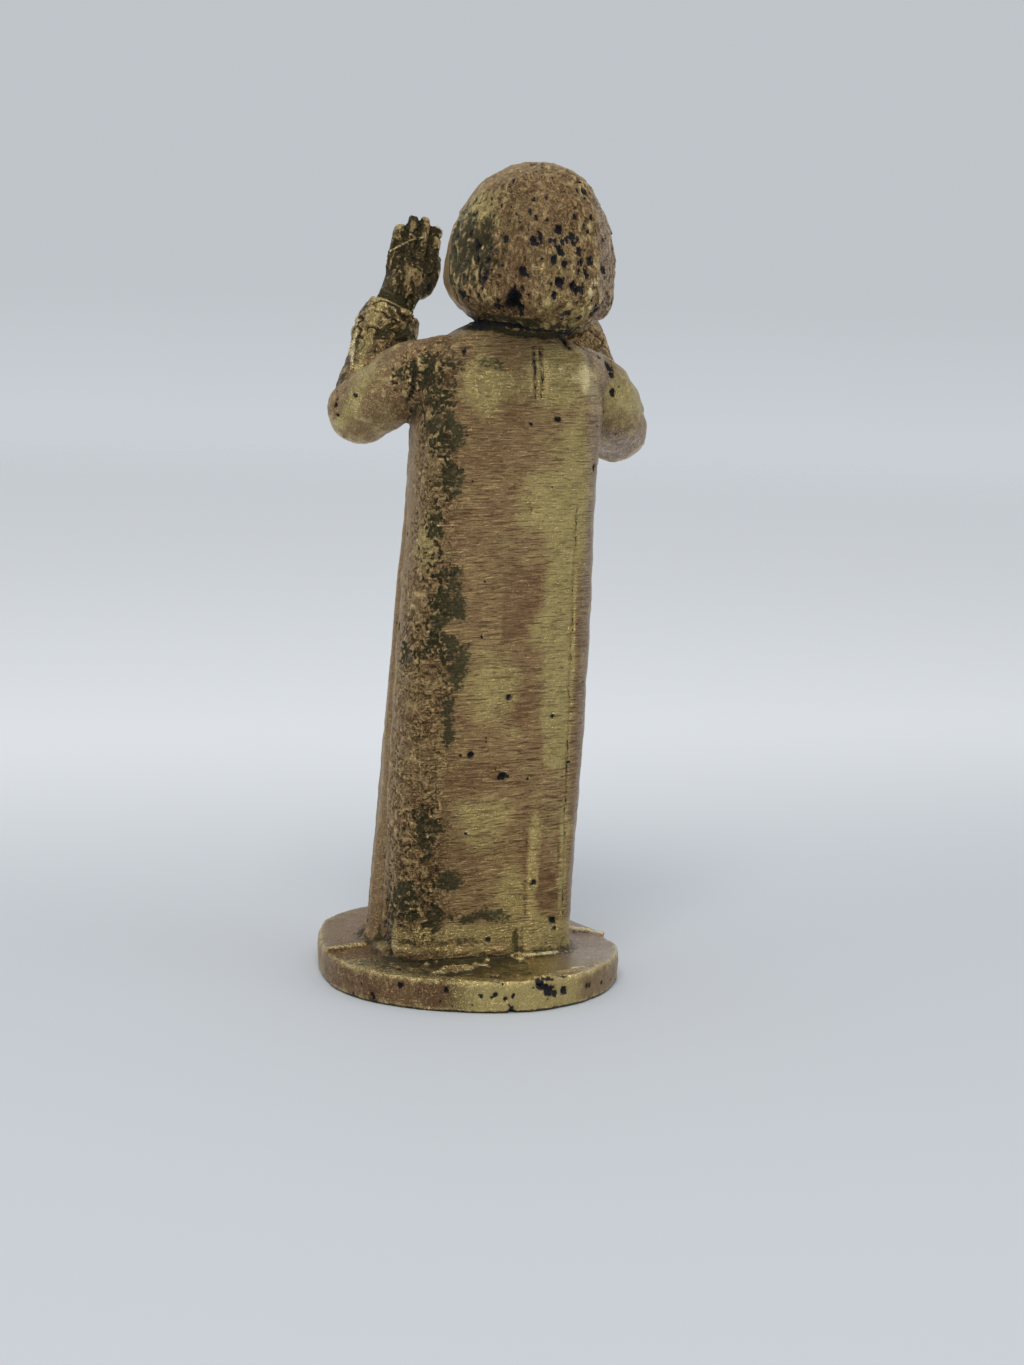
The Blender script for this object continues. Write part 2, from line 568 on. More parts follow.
class Regions:
    """How much each point of the skin belongs to each part of the figure, from 0 to 1."""

    def __init__(self, place, normal):
        drawn = upright(place)
        x, y, z = drawn.T
        self.place, self.drawn, self.normal = place, drawn, normal
        head = np.sqrt(((x - HEAD_SHIFT) / 6.7) ** 2 + ((y - 0.1) / 6.9) ** 2 + ((z - 51.0) / 7.2) ** 2)
        self.head = smooth_step(1.14, 1.06, head) * smooth_step(45.3, 46.2, z)
        face_x = (x - HEAD_SHIFT) / FACE_WINDOW_HALF_WIDTH
        window = smooth_step(1.06, 0.94, np.hypot(face_x, (z - 50.4) / 4.4))
        self.face = self.head * window * smooth_step(-2.6, -3.2, y)
        self.hair = self.head * (1.0 - self.face)
        self.hands = np.zeros(len(place))
        self.sleeves = np.zeros(len(place))
        for side in (-1, 1):
            palm = placed((PALM[0] + (0.0,), (PALM[0][0], PALM[0][1] - 0.2, 53.5, 0.0)), side)
            wrist = placed(WRIST, side)
            reach = np.minimum(near_path(drawn, palm) / 2.9, near_path(drawn, wrist) / 1.9)
            self.hands = np.maximum(self.hands, smooth_step(1.1, 0.95, reach) * smooth_step(46.7, 47.2, z))
            for arm in (UPPER_ARM[1:], FOREARM):
                share = smooth_step(3.2, 2.9, near_path(drawn, placed(arm, side)))
                self.sleeves = np.maximum(self.sleeves, share)
        self.hands *= 1.0 - self.head
        self.sleeves *= (1.0 - self.head) * (1.0 - self.hands)
        self.plate = smooth_step(2.75, 2.45, place[:, 2])
        self.top = self.plate * smooth_step(0.5, 0.8, normal[:, 2])
        self.rim = self.plate * (1.0 - self.top) * smooth_step(-0.8, -0.5, normal[:, 2])
        body = (1.0 - self.head) * (1.0 - self.hands) * (1.0 - self.sleeves) * (1.0 - self.plate)
        self.robe = body
        self.back = body * smooth_step(0.55, 0.85, normal[:, 1]) * smooth_step(2.6, 3.4, y)


def patch_share(place, across, height, half_width, half_height, softness, seed):
    """How far a point, seen from behind, lies in a ragged patch; a crisp one is boxy, a soft one round."""
    power = 5.0 if softness < 0.2 else 2.2
    dx = np.abs(place[:, 0] - across) / half_width
    dz = np.abs(place[:, 2] - height) / half_height
    reach = (dx**power + dz**power) ** (1.0 / power)
    ragged = layered_noise(place, (1.5, 1.5, 1.1), seed, 3)
    return smooth_step(1.0 + softness, 1.0 - softness, reach + 0.8 * softness * ragged)


class Carving:
    """Relief along the normals in mm, the dirt that grooves and pits hold, and the ground round the pits."""

    def __init__(self, regions, sizes):
        self.regions, self.sizes = regions, sizes
        self.relief, self.dirt, self.halo = (np.zeros(len(regions.place)) for _ in range(3))
        self.wander = 0.22 * layered_noise(regions.place, 1.6, 99, 2)
        parts = (self.skin, self.head, self.sleeves, self.hands, self.back)
        for carve in (*parts, self.neck, self.hem, self.flank, self.plate, self.pits):
            carve(*regions.place.T)

    def hold(self, share):
        self.dirt = np.maximum(self.dirt, share)

    def skin(self, x, y, z):
        """Rough cast skin, quieter on the face and where the back was filed flat."""
        regions, place = self.regions, self.regions.place
        quiet = 1.0 - 0.75 * regions.back - 0.85 * regions.face - 0.5 * regions.top
        self.relief += quiet * (0.05 * layered_noise(place, 1.5, 11) + 0.022 * lattice_noise(place, 0.42, 15))

    def head(self, x, y, z):
        """Lumps, crags and short upright strokes, and a lock that sweeps round the lower right."""
        place, hair = self.regions.place, self.regions.hair
        behind = smooth_step(-3.0, 1.5, y)
        back = hair * behind
        lumps = layered_noise(place, (1.9, 1.9, 2.3), 21, 4)
        self.relief += self.sizes.head_lumps * hair * (0.35 + 0.65 * behind) * 0.62 * lumps
        crags = smooth_step(0.80, 1.0, 1.0 - np.abs(layered_noise(place, (0.85, 0.85, 1.2), 31, 3)))
        worn_side = 0.45 + 0.55 * smooth_step(-2.8, -4.8, x) + 0.25 * smooth_step(1.0, 3.0, x)
        self.relief -= self.sizes.head_lumps * back * worn_side * (0.42 * crags)
        self.relief += 0.065 * back * lattice_noise(place, (0.36, 0.36, 0.95), 41)
        thick = smooth_step(-0.5, 0.4, lattice_noise(place, 2.6, 45))
        slivers = smooth_step(0.46, 0.80, layered_noise(place, (0.40, 0.40, 0.85), 43, 2)) * back * thick
        self.relief -= 0.16 * slivers
        self.hold(0.10 * back + 0.45 * slivers)
        swirl = np.hypot((x + 1.8) / 3.2, (z - 51.2) / 3.4)
        sweep = back * smooth_step(-1.2, -2.4, x) * band(z, 46.6, 47.4, 49.8, 51.5)
        self.relief += 0.07 * sweep * np.cos(math.tau * swirl * 2.4 + 0.9 * lattice_noise(place, 1.1, 51))

    def sleeves(self, x, y, z):
        """Slack cross folds, cracks between the facets of the cuffs and the crease at the left armpit."""
        place, drawn, sleeves = self.regions.place, self.regions.drawn, self.regions.sleeves
        self.relief += sleeves * 0.10 * layered_noise(drawn, (1.7, 1.7, 1.0), 61, 3)
        cuff = sleeves * smooth_step(42.0, 44.0, drawn[:, 2]) * smooth_step(-4.0, -5.0, drawn[:, 1])
        facets = np.abs(layered_noise(drawn, (1.3, 1.3, 0.9), 65, 2))
        self.relief -= 0.20 * cuff * smooth_step(0.16, 0.0, facets)
        crease = hill(x, 5.95 + 0.15 * lattice_noise(place, 1.6, 71), 0.22) * band(z, 39.8, 40.8, 44.6, 46.0)
        crease *= smooth_step(0.2, 1.4, y)
        self.relief -= 0.24 * crease
        self.hold(0.34 * crease)

    def hands(self, x, y, z):
        """Tendons on the backs, creases all over, sharp raised seams and grooves between the fingers."""
        place, hands = self.regions.place, self.regions.hands
        across, behind, height = self.regions.drawn.T
        for side in (-1, 1):
            local = side * (across - arm_shift(50.0, side))
            tendons = np.cos(math.tau * (local - 4.4) / 0.95)
            shown = smooth_step(51.2, 50.2, height) * smooth_step(-7.4, -7.0, behind)
            self.relief += hands * 0.09 * tendons * shown
        creases = smooth_step(0.12, 0.0, np.abs(layered_noise(place, (0.9, 0.9, 1.6), 83, 2)))
        self.relief += hands * (0.05 * layered_noise(place, (0.5, 0.5, 1.2), 81, 2) - 0.13 * creases)
        self.relief += 0.09 * seam_share(place)
        gaps = np.zeros(len(place))
        fingers = tuple(zip(FINGER_ROOTS, FINGER_TIPS))
        for side in (-1, 1):
            local = side * (across - arm_shift(52.0, side))
            for ((root, foot), (tip, _)), ((next_root, _), (next_tip, _)) in zip(fingers, fingers[1:]):
                share = np.clip((height - foot) / 2.6, 0.0, 1.0)
                low, high = (root + next_root) / 2, (tip + next_tip) / 2
                gaps = np.maximum(gaps, hill(local, low + (high - low) * share, 0.11))
        gaps *= hands * smooth_step(50.0, 50.8, height)
        self.relief -= 0.12 * gaps
        self.hold(0.26 * gaps)

    def back(self, x, y, z):
        """Long soft file waves, worn edges, a rough left side, and a proud strip and sunk block low down."""
        place, robe, back, wander = self.regions.place, self.regions.robe, self.regions.back, self.wander
        self.relief += back * (0.05 * layered_noise(place, (5.0, 5.0, 2.2), 91, 2))
        right_edge = robe * hill(x, -5.95 + 0.12 * lattice_noise(place, 2.5, 95), 0.13) * (y > 0)
        self.relief -= 0.07 * right_edge * band(z, 4.0, 6.0, 34.0, 36.0)
        self.hold(0.27 * right_edge * (z < 36.0))
        left_edge = hill(x - 6.35 - 0.45 * layered_noise(place, (0.9, 0.9, 1.3), 97, 3), 0.0, 0.25)
        self.relief -= 0.05 * robe * left_edge * band(z, 2.8, 4.0, 35.0, 36.5) * (y > 0)
        rough_side = smooth_step(2.2, 4.4, x) * smooth_step(2.6, 3.6, z)
        rough_side *= (1.0 - self.regions.head) * (y > 1.0)
        crackle = smooth_step(0.8, 1.0, 1.0 - np.abs(layered_noise(place, (0.75, 0.75, 0.5), 98, 3)))
        self.relief += rough_side * (0.07 * layered_noise(place, 0.8, 94, 3) - 0.12 * crackle)
        strip = smooth_step(-2.6, -3.2, x + wander) * smooth_step(13.0, 11.4, z + 3.0 * wander)
        self.relief += 0.10 * back * strip * smooth_step(2.4, 3.0, z)
        groove = hill(x + wander, -2.85, 0.13) * band(z, 4.6, 5.6, 11.0, 12.4)
        groove += hill(x + wander, -5.35, 0.12) * band(z, 5.6, 6.4, 10.5, 12.0)
        self.relief -= 0.07 * back * groove
        block = patch_share(place, -4.55, 7.4, 0.8, 1.9, 0.22, 101)
        self.relief -= 0.09 * back * block * (1.0 + 0.6 * layered_noise(place, 0.6, 102, 2))
        self.relief -= 0.03 * back * patch_share(place, -1.9, 28.2, 1.5, 2.8, 0.14, 103)

    def neck(self, x, y, z):
        """Two scribed lines below the neck, a deep nick round it, and the hair's edge hanging over it."""
        regions, facing = self.regions, self.regions.normal
        across, behind, height = regions.drawn.T
        lines = hill(np.abs(x + 2.85 + 0.5 * self.wander), 0.25, 0.13) * band(z, 42.6, 43.4, 46.5, 46.9)
        lines *= (y > 2.0) * (1.0 - regions.head)
        self.relief -= 0.15 * lines
        self.hold(0.46 * lines)
        nick = hill(height, 45.95, 0.55) * band(behind, 0.0, 1.5, 4.4, 5.4)
        nick *= smooth_step(6.4, 4.8, np.abs(x + 1.6)) * (1.0 - regions.hands)
        nick *= smooth_step(-0.5, -0.1, facing[:, 2]) * smooth_step(0.9, 0.2, facing[:, 1])
        self.relief -= 0.35 * nick
        recess = smooth_step(5.0, 4.3, np.hypot(across + 0.6, behind - 0.1)) * smooth_step(-1.0, 0.5, behind)
        recess *= band(height, 45.6, 45.95, 46.2, 46.5) * (1.0 - regions.hands) * (1.0 - regions.sleeves)
        self.hold(0.62 * recess)
        fringe = regions.hair * smooth_step(-0.15, -0.65, facing[:, 2]) * smooth_step(0.0, 2.0, y)
        self.relief += fringe * (0.25 + 0.35 * hill(x, -3.0, 3.2))

    def hem(self, x, y, z):
        """Three soft bulges where the hem meets the plate, and a notch beside them."""
        facing = self.regions.normal
        hem = (1.0 - self.regions.head) * smooth_step(1.5, 3.0, y)
        side_on = smooth_step(0.2, 0.6, np.abs(facing[:, 1]) + np.abs(facing[:, 0]))
        for middle, half, height, amount in HEM_BULGES:
            self.relief += amount * hem * (hill(x, middle, half) * hill(z, height, 0.42)) * side_on
        self.relief -= 0.22 * hem * hill(x, -2.15, 0.14) * smooth_step(4.6, 3.8, z) * (z > 2.6)

    def flank(self, x, y, z):
        """The rib of drapery on the left flank, knocked once, and the valley beside it."""
        robe = self.regions.robe
        self.relief -= 0.25 * hill(z, 11.6, 0.35) * smooth_step(7.2, 7.9, x) * robe
        valley = hill(x + 0.25 * self.wander, 7.1, 0.22)
        valley *= smooth_step(0.0, 1.0, y) * smooth_step(26.0, 12.0, z)
        self.relief -= 0.60 * valley * robe
        self.hold(0.36 * valley * robe)

    def plate(self, x, y, z):
        """Hammered top and rim, flash left by the mould, and the parting line running out to both sides."""
        place, top, rim = self.regions.place, self.regions.top, self.regions.rim
        self.relief += top * 0.05 * layered_noise(place, 1.3, 111, 3)
        self.relief += rim * 0.035 * layered_noise(place, (0.5, 0.5, 1.4), 115, 3)
        ridge_y = 8.35 + 0.5 * lattice_noise(place * (1.0, 0.0, 0.0), 1.2, 121) + 0.12 * (x - 3.0)
        flash = hill(y, ridge_y, 0.28 + 0.10 * smooth_step(1.0, 4.0, x)) * band(x, 0.3, 1.2, 4.6, 5.6)
        self.relief += 0.55 * top * flash * (0.75 + 0.5 * lattice_noise(place, 0.6, 123))
        self.relief += 0.25 * top * hill(y, ridge_y - 0.75, 0.2) * band(x, 1.6, 2.2, 3.4, 4.2)
        blob = np.hypot((x + 2.2) / 0.36, (y - 6.2 - 0.25 * (x + 2.2)) / 0.75)
        self.relief += 0.55 * top * hill(blob, 0.0, 0.9)
        for across, along, size in PLATE_BEADS:
            self.relief += 0.4 * top * hill(np.hypot(x - across, y - along), 0.0, size)
        right_line = y - (-1.9 + 1.05 * (-8.4 - x)) + 0.25 * lattice_noise(place, 0.7, 131)
        knobs = 0.7 + 0.6 * lattice_noise(place, 0.55, 133)
        self.relief += 0.30 * top * hill(right_line, 0.0, 0.34) * smooth_step(-7.6, -8.2, x) * knobs
        left_line = y - (0.72 + 0.26 * (x - 8.2)) + 0.12 * lattice_noise(place, 0.8, 135)
        self.relief += 0.30 * top * hill(left_line, 0.0, 0.2) * smooth_step(7.6, 8.2, x)
        knobs = hill(np.hypot(x, y), 11.15, 0.55) * band(x, -8.4, -7.2, -3.4, -2.4) * (y > 6)
        knobs *= smooth_step(1.8, 2.2, z) * lattice_noise(place, 0.6, 137)
        self.relief += 0.20 * self.regions.plate * knobs

    def pits(self, x, y, z):
        """Pits, each with a ragged outline."""
        place, normal = self.regions.place, self.regions.normal
        ragged = 1.0 + 0.55 * layered_noise(place, 0.36, 141, 2)
        by_height = np.argsort(z)
        heights = z[by_height]
        for px, py, pz, radius, depth in PITS + scattered_pits(self.regions):
            reach = radius * 2.6 + 0.8
            low, high = np.searchsorted(heights, (pz - reach, pz + reach))
            close = by_height[low:high]
            close = close[np.abs(place[close] - (px, py, pz)).max(axis=1) < reach]
            offset = place[close] - (px, py, pz)
            outward = np.einsum("ij,ij->i", offset, normal[close])
            flat = offset - outward[:, None] * normal[close]
            flat[:, 2] *= HEAD_PIT_STRETCH if pz > 46.0 else 1.0
            across = np.linalg.norm(flat, axis=1) + 1.15 * np.abs(flat).max(axis=1)
            across = 0.5 * across * ragged[close] / radius
            share = smooth_step(1.35, 0.5, across) * smooth_step(1.3, 0.8, np.abs(outward))
            self.relief[close] -= depth * share * self.sizes.pit_depth
            self.dirt[close] = np.maximum(self.dirt[close], share)
            self.halo[close] = np.maximum(self.halo[close], smooth_step(3.2, 1.5, across))


def seam_share(place):
    """1 on the sharp raised seams across the back of the left hand and cuff, 0 beside them."""
    flat = place * (1.0, 0.0, 1.0)
    share = np.zeros(len(place))
    for ends in HAND_SEAMS:
        distance = near_path(flat, [(x, 0.0, z) for x, z in ends])
        share = np.maximum(share, hill(distance, 0.0, 0.05))
    return share * (place[:, 1] < -4.0) * smooth_step(-7.6, -7.2, place[:, 1])


def scattered_pits(regions):
    """Smaller pits at random, thickest on the head, thin on the robe, few on the face."""
    rng = np.random.default_rng(5)
    x, y, z = regions.place.T
    worn = smooth_step(-2.0, 2.0, y)
    chance = 1.3 * regions.hair * (0.35 + 0.65 * worn) + 0.8 * regions.rim * (y > 4) + 0.25 * regions.rim
    chance += 0.5 * regions.sleeves + 0.35 * regions.hands + 0.16 * regions.robe + 0.25 * regions.top
    chance *= 1.0 - 0.93 * regions.face
    picks = rng.choice(len(x), 380, p=chance / chance.sum())
    radii = 0.06 + 0.16 * rng.random(len(picks)) ** 2.6
    cluster = np.flatnonzero((x < -2.2) & (x > -5.6) & (z > 50.6) & (z < 54.2) & (y > 3.0))
    picks = np.concatenate((picks, rng.choice(cluster, 26)))
    radii = np.concatenate((radii, 0.07 + 0.12 * rng.random(26)))
    return tuple((*regions.place[n], radius, 1.1 * radius) for n, radius in zip(picks, radii))


def neighbour_means(mesh, values, rounds):
    """The values after a number of rounds in which each point takes the mean of its neighbours."""
    ends = np.empty(len(mesh.edges) * 2, np.int32)
    mesh.edges.foreach_get("vertices", ends)
    one, two = ends.reshape(-1, 2).T
    count = np.bincount(one, minlength=len(values)) + np.bincount(two, minlength=len(values))
    for _ in range(rounds):
        sums = [
            np.bincount(one, column[two], len(values)) + np.bincount(two, column[one], len(values))
            for column in values.T
        ]
        values = np.column_stack(sums) / np.maximum(count, 1)[:, None]
    return values


def proud_share(mesh, normals, rounds, full):
    """1 on ridges, -1 in hollows, against the surface smoothed over a number of rounds."""
    points = read_points(mesh)
    rise = np.einsum("ij,ij->i", points - neighbour_means(mesh, points, rounds), normals)
    return np.clip(rise / full, -1.0, 1.0)


class Wear:
    """How rubbed, stained, brown, dull or bare each point of the finished skin is."""

    def __init__(self, regions):
        self.regions = regions
        x, y, z = regions.place.T
        self.shares = {kind: np.zeros(len(x)) for kind in ("rubbed", "dark", "brown", "mauve", "glint")}
        self.behind = smooth_step(0.5, 2.5, y) * (1.0 - regions.head)
        self.right_shoulder = hill(np.hypot((x + 6.4) / 1.8, (z - 44.8) / 1.6), 0.0, 1.0) * (y > 0)
        for wear in (self.back, self.head, self.shoulders, self.sleeves, self.hem, self.plate):
            wear(x, y, z)

    def add(self, kind, share, amount=1.0):
        self.shares[kind] = np.maximum(self.shares[kind], amount * share)

    def clear(self, kind, share):
        self.shares[kind] *= 1.0 - share

    def back(self, x, y, z):
        """Patches of each finish, a stained column on the left and dull edges."""
        place, robe, behind = self.regions.place, self.regions.robe, self.behind
        for number, (kind, *patch) in enumerate(BACK_PATCHES):
            self.add(kind, patch_share(place, *patch, 200 + 4 * number) * behind)
        moon = smooth_step(1.1, 0.95, np.hypot((x + 3.25) / 0.75, (z - 26.1) / 1.55)) * behind
        self.clear("brown", moon)
        self.add("rubbed", moon, 0.8)
        column = hill(x, 4.1, 1.7) * smooth_step(17.0, 24.0, z)
        column += 0.7 * hill(x, 4.9, 1.6) * smooth_step(18.0, 12.0, z)
        drift = 0.5 + 0.5 * layered_noise(place, (2.2, 2.2, 3.0), 171, 2)
        self.add("dark", behind * column * drift * smooth_step(3.4, 4.4, z), 0.62)
        low = smooth_step(3.0, 5.0, z)
        self.add("brown", robe * smooth_step(-6.2, -6.7, x) * low, 0.9)
        self.add("brown", robe * smooth_step(6.9, 7.3, x) * low, 0.8)
        self.add("mauve", robe * smooth_step(-6.5, -7.0, x) * low * (y > -1.0), 0.45)
        valley = robe * smooth_step(6.7, 7.0, x) * smooth_step(0.5, 1.5, y) * smooth_step(2.8, 3.6, z)
        self.add("mauve", valley * smooth_step(36.0, 30.0, z), 0.9)

    def head(self, x, y, z):
        """Stains on the left and under the hair, rubbed and brown places, flakes at the right edge."""
        hair = self.regions.hair
        left = smooth_step(3.4, 1.0, np.hypot((x - 2.6) / 0.9, (z - 53.6) / 1.5)) * (y > 0)
        self.add("dark", hair * left, 0.95)
        self.add("dark", hair * hill(z, 47.4, 1.0) * smooth_step(0.0, 3.0, y), 0.55)
        for kind, across, half_width, height, half_height, amount in HEAD_PATCHES:
            spot = hill(x, across, half_width) * hill(z, height, half_height) * (y > 0)
            self.add(kind, hair * spot, amount)
        self.add("rubbed", hair * hill(x, -3.2, 0.9) * smooth_step(55.0, 53.0, z) * (y > 0), 0.5)
        flakes = smooth_step(0.25, 0.6, layered_noise(self.regions.place, (0.5, 0.5, 0.9), 195, 2))
        self.add("glint", hair * flakes * hill(x, -6.1, 1.0) * hill(z, 50.5, 3.5) * (y > 0.0), 0.75)
        self.add("mauve", hair * smooth_step(-6.4, -7.2, x), 0.6)
        across, behind, height = self.regions.drawn.T
        neck = smooth_step(5.2, 4.4, np.hypot(across + 0.6, behind - 0.1)) * (y > -1.5)
        self.add("dark", neck * band(height, 44.9, 45.7, 46.3, 46.9), 1.1)

    def shoulders(self, x, y, z):
        """Dark patina over the left shoulder, bright scrapes and a ridge on the right one."""
        place, off_head = self.regions.place, 1.0 - self.regions.head
        self.add("dark", hill(x, 5.5, 1.2) * hill(z, 44.8, 1.4) * self.behind, 0.7)
        left = hill(np.hypot((x - 5.6) / 2.9, (z - 44.7 + 0.25 * (x - 5.6)) / 1.5), 0.0, 1.0) * (y > -0.5)
        self.add("dark", left * (1.0 - self.regions.hands) * off_head, 0.85)
        self.add("rubbed", self.right_shoulder)
        self.add("glint", self.right_shoulder, 0.38)
        scrapes = smooth_step(-0.25, 0.20, layered_noise(place, (1.9, 1.9, 0.30), 191, 2))
        scrapes *= (y > 0.5) * off_head
        self.add("glint", scrapes * hill(x, -4.6, 1.9) * hill(z, 45.0 + 0.15 * (x + 4.8), 0.75))
        ridge = hill(x + 6.45 + 0.15 * layered_noise(place, 0.8, 193, 2), 0.0, 0.5) * hill(z, 44.6, 1.3)
        self.add("glint", ridge * (y > 0.0) * off_head * (1.0 - self.regions.hands))

    def sleeves(self, x, y, z):
        """Dark hands and left forearm, crossed by a rubbed stripe and bare seams; dull undersides."""
        sleeves, hands = self.regions.sleeves, self.regions.hands
        self.add("rubbed", sleeves * smooth_step(-3.5, -7.0, x) * hill(z, 43.5, 1.8) * (y > -1.0), 0.85)
        self.add("dark", hands * smooth_step(0.0, 2.0, x), 0.95)
        forearm = sleeves * smooth_step(-3.4, -4.6, y)
        self.add("dark", forearm * smooth_step(2.0, 4.0, x) * smooth_step(40.0, 43.0, z), 1.05)
        self.add("dark", sleeves * hill(x, 6.4, 1.0) * hill(z, 45.0, 1.6) * (y > -2.0), 0.5)
        stripe = sleeves * hill(x, 9.9 - 0.36 * (z - 41.0), 0.42) * smooth_step(39.5, 41.0, z)
        stripe *= smooth_step(-7.6, -5.8, y)
        seams = seam_share(self.regions.place)
        self.add("rubbed", stripe, 1.1)
        self.clear("dark", 0.8 * stripe)
        self.clear("dark", seams)
        self.add("glint", seams)
        self.add("mauve", sleeves * smooth_step(-6.8, -8.0, x) * smooth_step(41.5, 40.0, z) * (y > -3.5), 0.9)
        self.add("mauve", sleeves * smooth_step(7.6, 8.8, x) * smooth_step(40.0, 38.6, z) * (y > -4.0), 0.7)

    def hem(self, x, y, z):
        """A rubbed band along the hem under a ragged dark line, with smooth brown bulges."""
        place, behind, off_plate = self.regions.place, self.behind, 1.0 - self.regions.top
        ragged = z - 5.2 - 0.55 * layered_noise(place * (1.0, 1.0, 0.2), 1.0, 175, 3)
        line = self.regions.robe * hill(ragged, 0.0, 0.45) * smooth_step(-2.6, -1.4, x)
        self.add("dark", behind * line, 0.8)
        rubbed = behind * smooth_step(2.3, 3.0, z) * smooth_step(4.9, 4.3, z - 0.5 * (ragged - z + 5.2))
        rubbed *= off_plate
        self.add("rubbed", rubbed, 1.15)
        bulges = sum(hill(x, middle, half) for middle, half in HEM_BROWN)
        bulges = bulges * hill(z, 2.95, 0.55) * behind * off_plate
        bare = 1.0 - np.clip(bulges, 0.0, 1.0)
        self.clear("rubbed", 0.9 * (1.0 - bare))
        self.add("brown", bulges)
        self.add("glint", rubbed * smooth_step(-5.9, -5.4, x) * bare, 0.32)
        foot_line = hill(z, 2.45, 0.09) * band(x, -5.8, -5.4, -2.8, -2.4) * (y > 4.5)
        self.add("glint", foot_line * smooth_step(6.6, 6.2, y))

    def plate(self, x, y, z):
        """Brown sides and a rubbed middle on the rim, a dirty top, and bare flash and parting lines."""
        top, rim, plate = self.regions.top, self.regions.rim, self.regions.plate
        toward = smooth_step(0.0, 3.0, y)
        self.add("brown", rim * smooth_step(1.5, 5.0, x) * toward)
        self.add("brown", rim * smooth_step(-3.6, -5.4, x) * toward, 0.8)
        self.add("brown", top, 0.8)
        self.clear("dark", 0.8 * top * smooth_step(-4.0, -6.0, x))
        self.add("glint", top * smooth_step(2.36, 2.50, z) * (y > 5.0), 0.9)
        self.add("glint", top * smooth_step(2.34, 2.44, z) * (np.abs(x) > 7.8) * (y < 3.0), 0.8)
        self.add("glint", plate * hill(z, 2.24, 0.07) * (y > 3.0), 0.45)
        self.add("mauve", top * smooth_step(-3.5, -6.5, x), 0.9)
        self.add("rubbed", rim * band(x, -6.2, -4.2, 3.0, 5.5) * smooth_step(2.0, 6.0, y), 0.9)
        self.add("rubbed", top * hill(x, -3.6, 1.3) * hill(y, 7.2, 1.1), 0.9)
        self.add("rubbed", plate * smooth_step(0.0, -0.25, np.abs(z - 2.25) - 0.25) * (y > 4.0), 0.9)
        around = np.hypot(x, y)
        self.add("dark", top * smooth_step(11.5, 10.5, around) * smooth_step(3.0, 5.0, y) * (x > -2.4), 0.6)
        self.add("dark", (1.0 - top) * smooth_step(0.34, 0.14, z), 1.6)
        dirt = smooth_step(3.2, 2.5, z) * smooth_step(0.0, 0.3, self.regions.normal[:, 2]) * (1.0 - top)
        self.add("dark", dirt * (around < 9.5), 0.35)

    def crackle(self, x, y, z):
        """Where the skin is crazed: the left of the back, sleeves, hair and hands, faintly the robe."""
        regions = self.regions
        shares = (
            self.behind * smooth_step(2.0, 4.4, x),
            regions.sleeves * (0.35 + 0.50 * smooth_step(-3.4, -4.6, y)),
            regions.hair * smooth_step(1.0, 3.0, y) * (0.6 + 0.4 * smooth_step(51.0, 48.0, z)),
            0.30 * regions.robe * (1.0 - regions.back),
        )
        uneven = np.clip(0.75 + 0.55 * layered_noise(regions.place, (1.8, 1.8, 2.4), 181, 2), 0.15, 1.0)
        return np.maximum(np.maximum.reduce(shares) * uneven, 0.9 * regions.hands)


def paint_attributes(mesh):
    """Wear and stains that follow the form, kept on the points for the material."""
    place, normals = read_points(mesh), read_normals(mesh)
    regions = Regions(place, normals)
    wear = Wear(regions)
    form = proud_share(mesh, normals, 40, 0.22)
    write_attribute(mesh, "edge", proud_share(mesh, normals, 4, 0.07))
    write_attribute(mesh, "form", form * (1.0 - 0.7 * regions.hands))
    write_attribute(mesh, "filed", np.maximum(regions.back, 0.8 * wear.right_shoulder))
    write_attribute(mesh, "crackle", wear.crackle(*place.T))
    write_attribute(mesh, "crust", regions.hair * smooth_step(-1.0, 2.0, place[:, 1]))
    for kind, share in wear.shares.items():
        write_attribute(mesh, kind, share)


class Wire:
    """A shader value that can stand in a sum."""

    def __init__(self, paint, socket):
        self.paint, self.socket = paint, socket

    def _math(self, operation, *values):
        return self.paint.node("ShaderNodeMath", {"operation": operation}, dict(enumerate(values)))

    def __add__(self, other):
        return self._math("ADD", self, other)

    def __sub__(self, other):
        return self._math("SUBTRACT", self, other)

    def __rsub__(self, other):
        return self._math("SUBTRACT", other, self)

    def __mul__(self, other):
        return self._math("MULTIPLY", self, other)

    def __truediv__(self, other):
        return self._math("DIVIDE", self, other)

    def __abs__(self):
        return self._math("ABSOLUTE", self)

    __radd__, __rmul__ = __add__, __mul__

    def least(self, other):
        return self._math("MINIMUM", self, other)

    def most(self, other):
        return self._math("MAXIMUM", self, other)

    def between(self, low, high):
        """0 at low, 1 at high, an S curve between."""
        settings = {"interpolation_type": "SMOOTHSTEP"}
        sockets = {"Value": self, "From Min": low, "From Max": high, "To Min": 0.0, "To Max": 1.0}
        if low > high:
            sockets.update({"From Min": high, "From Max": low, "To Min": 1.0, "To Max": 0.0})
        return self.paint.node("ShaderNodeMapRange", settings, sockets)


